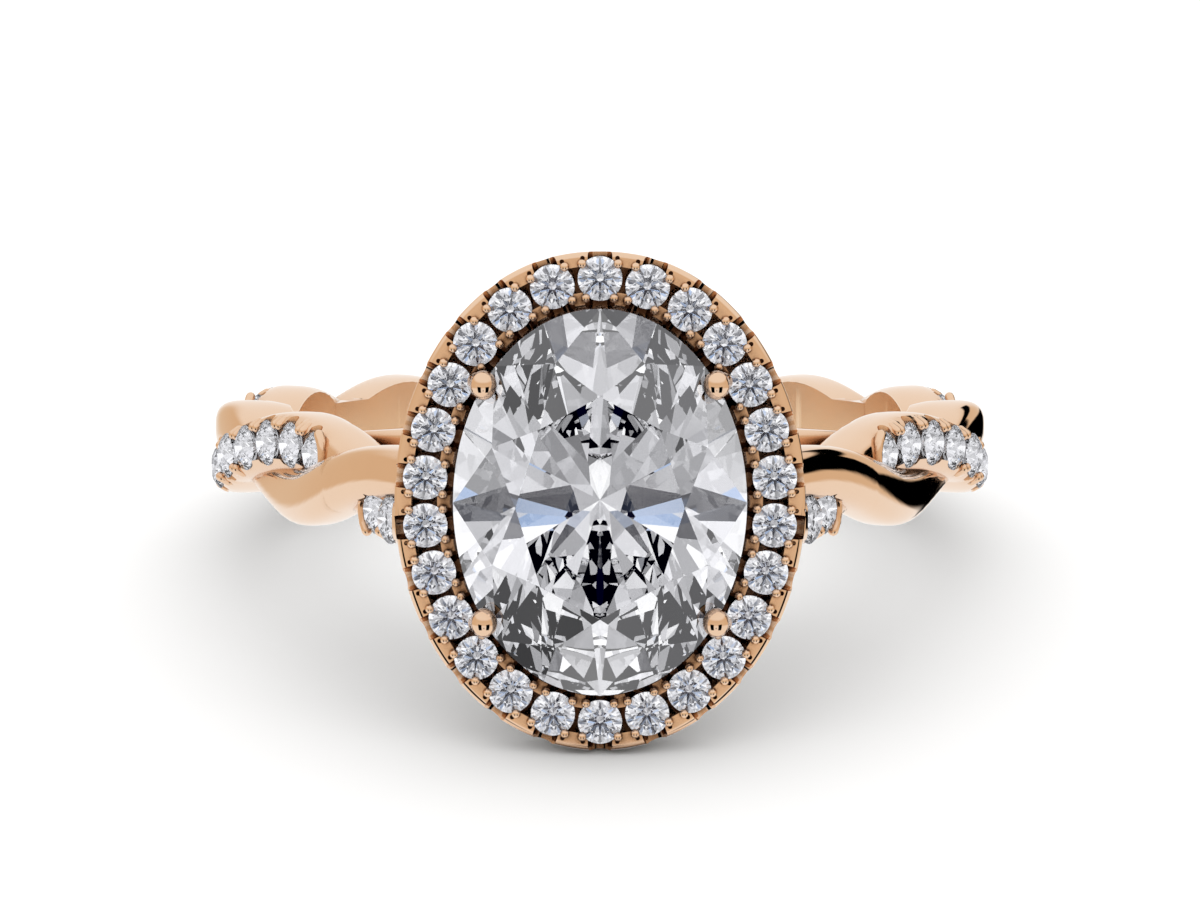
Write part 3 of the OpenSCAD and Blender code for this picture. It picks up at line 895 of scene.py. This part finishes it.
def shank():
    """The strands on their band and bridge, cut for the finger, the stones and the head."""
    inside = FINGER_R - HOLE_SPARE
    band = rounded_box(INNER_BAND_W / 2, inside, FINGER_R + INNER_BAND_T, EDGE_ROUND)
    bridge = rounded_box(BRIDGE_W / 2, inside, FINGER_R + BRIDGE_THICK, BRIDGE_THICK / 5)
    hoops = [hoop("band", band, 0, 360, 240),
             hoop("bridge", bridge, -BRIDGE_END, BRIDGE_END, 120, BRIDGE_END_SHARE)]
    metal = combine(strand_skin(), hoops, "UNION")
    hole = solid("hole", *cylinder(FINGER_R, -STONE_L, STONE_L, HOLE_STEPS))
    combine(metal, [hole], "DIFFERENCE")
    cuts = pave_cuts(-1) + pave_cuts(1) + pave_channels(-1) + pave_channels(1)
    turns = np.arange(CLEAR_STEPS) / CLEAR_STEPS
    for beside, low in ((HALO_OUT - BURY, HALO_BACK_V + BURY), (-HALO_IN, RAIL_V)):
        outline = line_point(turns, np.full(CLEAR_STEPS, beside))
        cuts.append(level_prism("clear", outline, low, low + FINGER_R))
    corners = FINGER_R * np.array([(-1, -1), (1, -1), (1, 1), (-1, 1)])
    cuts.append(level_prism("above", corners, HALO_V - SHOULDER_SINK, 2 * HALO_V))
    cuts += [halo_u_cut(i, HALO_OUT + LIP) for i in range(HALO_N)]
    combine(metal, cuts, "DIFFERENCE")
    return combine(metal, pave_ribs(-1) + pave_ribs(1) + pave_ends(-1) + pave_ends(1), "UNION")


def head():
    """The halo on its claws and rail, with rooms for its stones."""
    metal = halo_plate()
    combine(metal, claws() + [rail()], "UNION")
    room = placed(centre_verts * ROOM_SHARE, CENTRE_AT, *HEAD_AXES)
    combine(metal, [solid("room", room, centre_faces)], "DIFFERENCE")
    combine(metal, halo_beads(), "UNION")
    verts, faces = round_room(HALO_CUT_D)
    rooms = [solid("room", placed(verts, *halo_frame(i / HALO_N)), faces) for i in range(HALO_N)]
    return combine(metal, rooms, "DIFFERENCE")


CENTRE_AT = (0, -GIRDLE_V, 0)
PAVE_S = pave_places()
centre_verts, centre_faces = brilliant(STONE_W, STONE_L, GIRDLE, sides=128)
gold = polished_gold()
metal = combine(shank(), [head()], "UNION").data
shown_metal = piece("ring_metal_polished", metal, gold, "ring_metal", SMOOTH_UNDER)
shown_metal.visible_transmission = False

centre_look = diamond("centre_diamond_clear", CENTRE_TINT)
small_look = diamond("small_diamond_clear", SMALL_TINT)
verts = placed(centre_verts, CENTRE_AT, *HEAD_AXES)
stone_piece("centre_stone_cut", verts, centre_faces, centre_look, "centre_stone")
small_verts, small_faces = brilliant(HALO_CUT_D, HALO_CUT_D, EDGE * HALO_CUT_D, sides=48)
for i in range(HALO_N):
    verts = placed(small_verts, *halo_frame(i / HALO_N))
    name, node = f"halo_stone_cut_{i + 1}", f"halo_stone_{i + 1}"
    stone_piece(name, verts, small_faces, small_look, node)
pave_verts, pave_faces = brilliant(PAVE_CUT_D, PAVE_CUT_D, EDGE * PAVE_CUT_D, sides=48)
for mirror, side in ((-1, "left"), (1, "right")):
    verts, faces = [], []
    for s in PAVE_S:
        start = sum(len(v) for v in verts)
        verts.append(placed(pave_verts, *strand_frame(s)) * [mirror, 1, 1])
        faces += [[start + i for i in (f[::-1] if mirror < 0 else f)] for f in pave_faces]
    name, node = f"pave_cut_{side}", f"pave_{side}"
    stone_piece(name, np.concatenate(verts), faces, small_look, node)

# Floor, light and camera
FLOOR_HALF = 1.2
floor_mesh = bpy.data.meshes.new("floor")
floor_mesh.from_pydata([(-FLOOR_HALF, -FLOOR_HALF, 0), (FLOOR_HALF, -FLOOR_HALF, 0),
                        (FLOOR_HALF, FLOOR_HALF, 0), (-FLOOR_HALF, FLOOR_HALF, 0)], [], [(0, 1, 2, 3)])
floor_mesh.materials.append(floor_material())
floor = bpy.data.objects.new("floor", floor_mesh)
bpy.context.scene.collection.objects.link(floor)
floor.visible_glossy = False
floor.visible_transmission = False


# What polished metal sees round it, with dark patches as azimuth and height in degrees
BRIGHT_ROOM = (1.0, 0.985, 0.965, 1)
WARM_BAND = (0.80, 0.645, 0.48, 1)
DEEP_BAND = (0.84, 0.71, 0.56, 1)
DARK_PATCHES = ((20, 50, -40, 0), (-50, -20, -40, 0), (-4, 4, -29, -21))
SIDE_DARK = (115, 163, -30, 19)
SIDE_GLOW = (137, 180, -8, 9)
SIDE_SLOPE = -0.4
SIDE_LOW = -8
PATCH_SOFT = 1.5
FLOOR_LIGHT = (1.4, 1.4, 1.4, 1)

# The warm band round the room: the slope of an edge with the turn, its height in front and its
# softness, then the turns and heights over which it ends or gets deeper
BAND_LOW = (-0.1, -6.0, -2.0, 3.0)
BAND_HIGH = (-0.075, 32.0, -9.0, 9.0)
BAND_BACK = (150.0, 172.0)
DEEP_TURN = (50.0, 100.0)
DEEP_HEIGHT = (6.0, 30.0)

# What the stones see: greys with lights, dark patches and a little blue
STONE_GREYS = (0.5, 0.85)
STONE_HEIGHTS = (-60.0, 60.0)
STONE_COOL = 1.04
STONE_BLACK = (0.0, 0.0, 0.01, 1)
STONE_WAVES = 7
STONE_SOFT = 5
STONE_WAVE = 0.25
STONE_LIGHT = (1.3, 1.3, 1.32, 1)
STONE_BLUE = (0.42, 0.62, 1.0, 1)
STONE_LIGHTS = ((24, 52, 22, 50), (-52, -24, 22, 50), (-20, 20, 62, 88), (75, 110, -15, 25),
                (-110, -75, -15, 25), (-30, 30, -75, -50))
STONE_DARKS = ((-16, 16, -2, 34),)
STONE_BLUES = ((16, 22, 10, 30), (-22, -16, 10, 30))


def studio():
    """Soft light all round, with its own surroundings for the metal, the stones and the floor."""
    world = bpy.data.worlds.new("studio")
    bpy.context.scene.world = world
    world.use_nodes = True
    g = Graph(world.node_tree)
    where = g.node("ShaderNodeTexCoord", out=0)
    x, y, z = g.node("ShaderNodeSeparateXYZ", out=None, Vector=where).outputs
    path = g.node("ShaderNodeLightPath", out=None).outputs
    azimuth = g.math("MULTIPLY", g.math("ARCTAN2", x, g.math("MULTIPLY", y, -1.0)), 1 / DEG)
    height = g.math("MULTIPLY", g.math("ARCSINE", z), 1 / DEG)

    def inside(angle, low, high, soft):
        fade_in = g.ramp(angle, low - soft, low + soft)
        return g.math("MULTIPLY", fade_in, g.ramp(angle, high - soft, high + soft, 1, 0))

    def patch(a_low, a_high, h_low, h_high, soft=PATCH_SOFT):
        return g.math("MULTIPLY", inside(azimuth, a_low, a_high, soft), inside(height, h_low, h_high, soft))

    def past_edge(slope, front, low, high, to_low, to_high):
        above = g.math("SUBTRACT", height, g.math("MULTIPLY_ADD", turned_away, slope, front))
        return g.ramp(above, low, high, to_low, to_high)

    turned_away = g.math("ABSOLUTE", azimuth)
    band = g.math("MULTIPLY", past_edge(*BAND_LOW, 0.0, 1.0), past_edge(*BAND_HIGH, 1.0, 0.0))
    band = g.math("MULTIPLY", band, g.ramp(turned_away, *BAND_BACK, 1.0, 0.0))
    in_front = g.ramp(turned_away, *DEEP_TURN, 1.0, 0.0)
    frontal = g.math("MULTIPLY", in_front, g.ramp(height, *DEEP_HEIGHT, 1.0, 0.0))
    metal_sees = g.mix(band, BRIGHT_ROOM, g.mix(frontal, WARM_BAND, DEEP_BAND))
    for box in DARK_PATCHES:
        metal_sees = g.mix(patch(*box), metal_sees, BLACK)
    sloping = g.math("MULTIPLY_ADD", azimuth, SIDE_SLOPE, SIDE_LOW - SIDE_SLOPE * SIDE_DARK[0])
    above = g.math("SUBTRACT", height, sloping)
    beside = g.math("MULTIPLY", patch(*SIDE_DARK), g.ramp(above, -PATCH_SOFT, PATCH_SOFT))
    beside = g.math("MULTIPLY", beside, g.math("SUBTRACT", 1.0, patch(*SIDE_GLOW)))
    metal_sees = g.mix(beside, metal_sees, BLACK)
    waves = g.math("SINE", g.math("MULTIPLY", azimuth, STONE_WAVES * DEG))
    grey = g.math("MULTIPLY_ADD", waves, STONE_WAVE, g.ramp(height, *STONE_HEIGHTS, *STONE_GREYS))
    stone_sees = g.node("ShaderNodeCombineXYZ", X=grey, Y=grey, Z=g.math("MULTIPLY", grey, STONE_COOL))
    for box in STONE_LIGHTS:
        stone_sees = g.mix(patch(*box, STONE_SOFT), stone_sees, STONE_LIGHT)
    for box in STONE_DARKS:
        stone_sees = g.mix(patch(*box, STONE_SOFT), stone_sees, STONE_BLACK)
    for box in STONE_BLUES:
        stone_sees = g.mix(patch(*box, STONE_SOFT), stone_sees, STONE_BLUE)
    seen = g.mix(path["Is Singular Ray"], metal_sees, stone_sees)
    seen = g.mix(path["Is Diffuse Ray"], seen, FLOOR_LIGHT)
    seen = g.mix(path["Is Camera Ray"], seen, WHITE)
    background = g.node("ShaderNodeBackground", Color=seen, Strength=1.0)
    g.node("ShaderNodeOutputWorld", out=None, Surface=background)


# Camera, with the aim and the focal length in pixels of the picture
CAMERA_AWAY = 105
CAMERA_ANGLE = 5.74
SENSOR_W = 36
LENS = 118.1
AIM_DROP_PX = 7.6
FOCAL_PX = 3937


def camera():
    """Camera at the photograph's angle to the ring, aimed a little under the ring's middle."""
    data = bpy.data.cameras.new("camera")
    data.sensor_width = SENSOR_W
    data.lens = LENS
    data.clip_start = MM
    data.clip_end = 10
    angle = CAMERA_ANGLE * DEG - at_rest.to_euler().x
    toward = Vector((0, -math.cos(angle), math.sin(angle)))
    obj = bpy.data.objects.new("camera", data)
    obj.location = at_rest.translation + toward * CAMERA_AWAY * MM
    obj.rotation_euler = (math.pi / 2 - angle - AIM_DROP_PX / FOCAL_PX, 0, 0)
    bpy.context.scene.collection.objects.link(obj)
    bpy.context.scene.camera = obj


studio()
camera()
scene = bpy.context.scene
scene.view_settings.view_transform = "Standard"
scene.cycles.max_bounces = 16
scene.cycles.transmission_bounces = 16
scene.cycles.glossy_bounces = 8
scene.cycles.diffuse_bounces = 4
scene.cycles.use_denoising = True
scene.cycles.denoiser = "OPENIMAGEDENOISE"
scene.cycles.caustics_reflective = False
scene.cycles.caustics_refractive = False

for leftover in list(scratch.objects):
    bpy.data.objects.remove(leftover)
bpy.data.collections.remove(scratch)
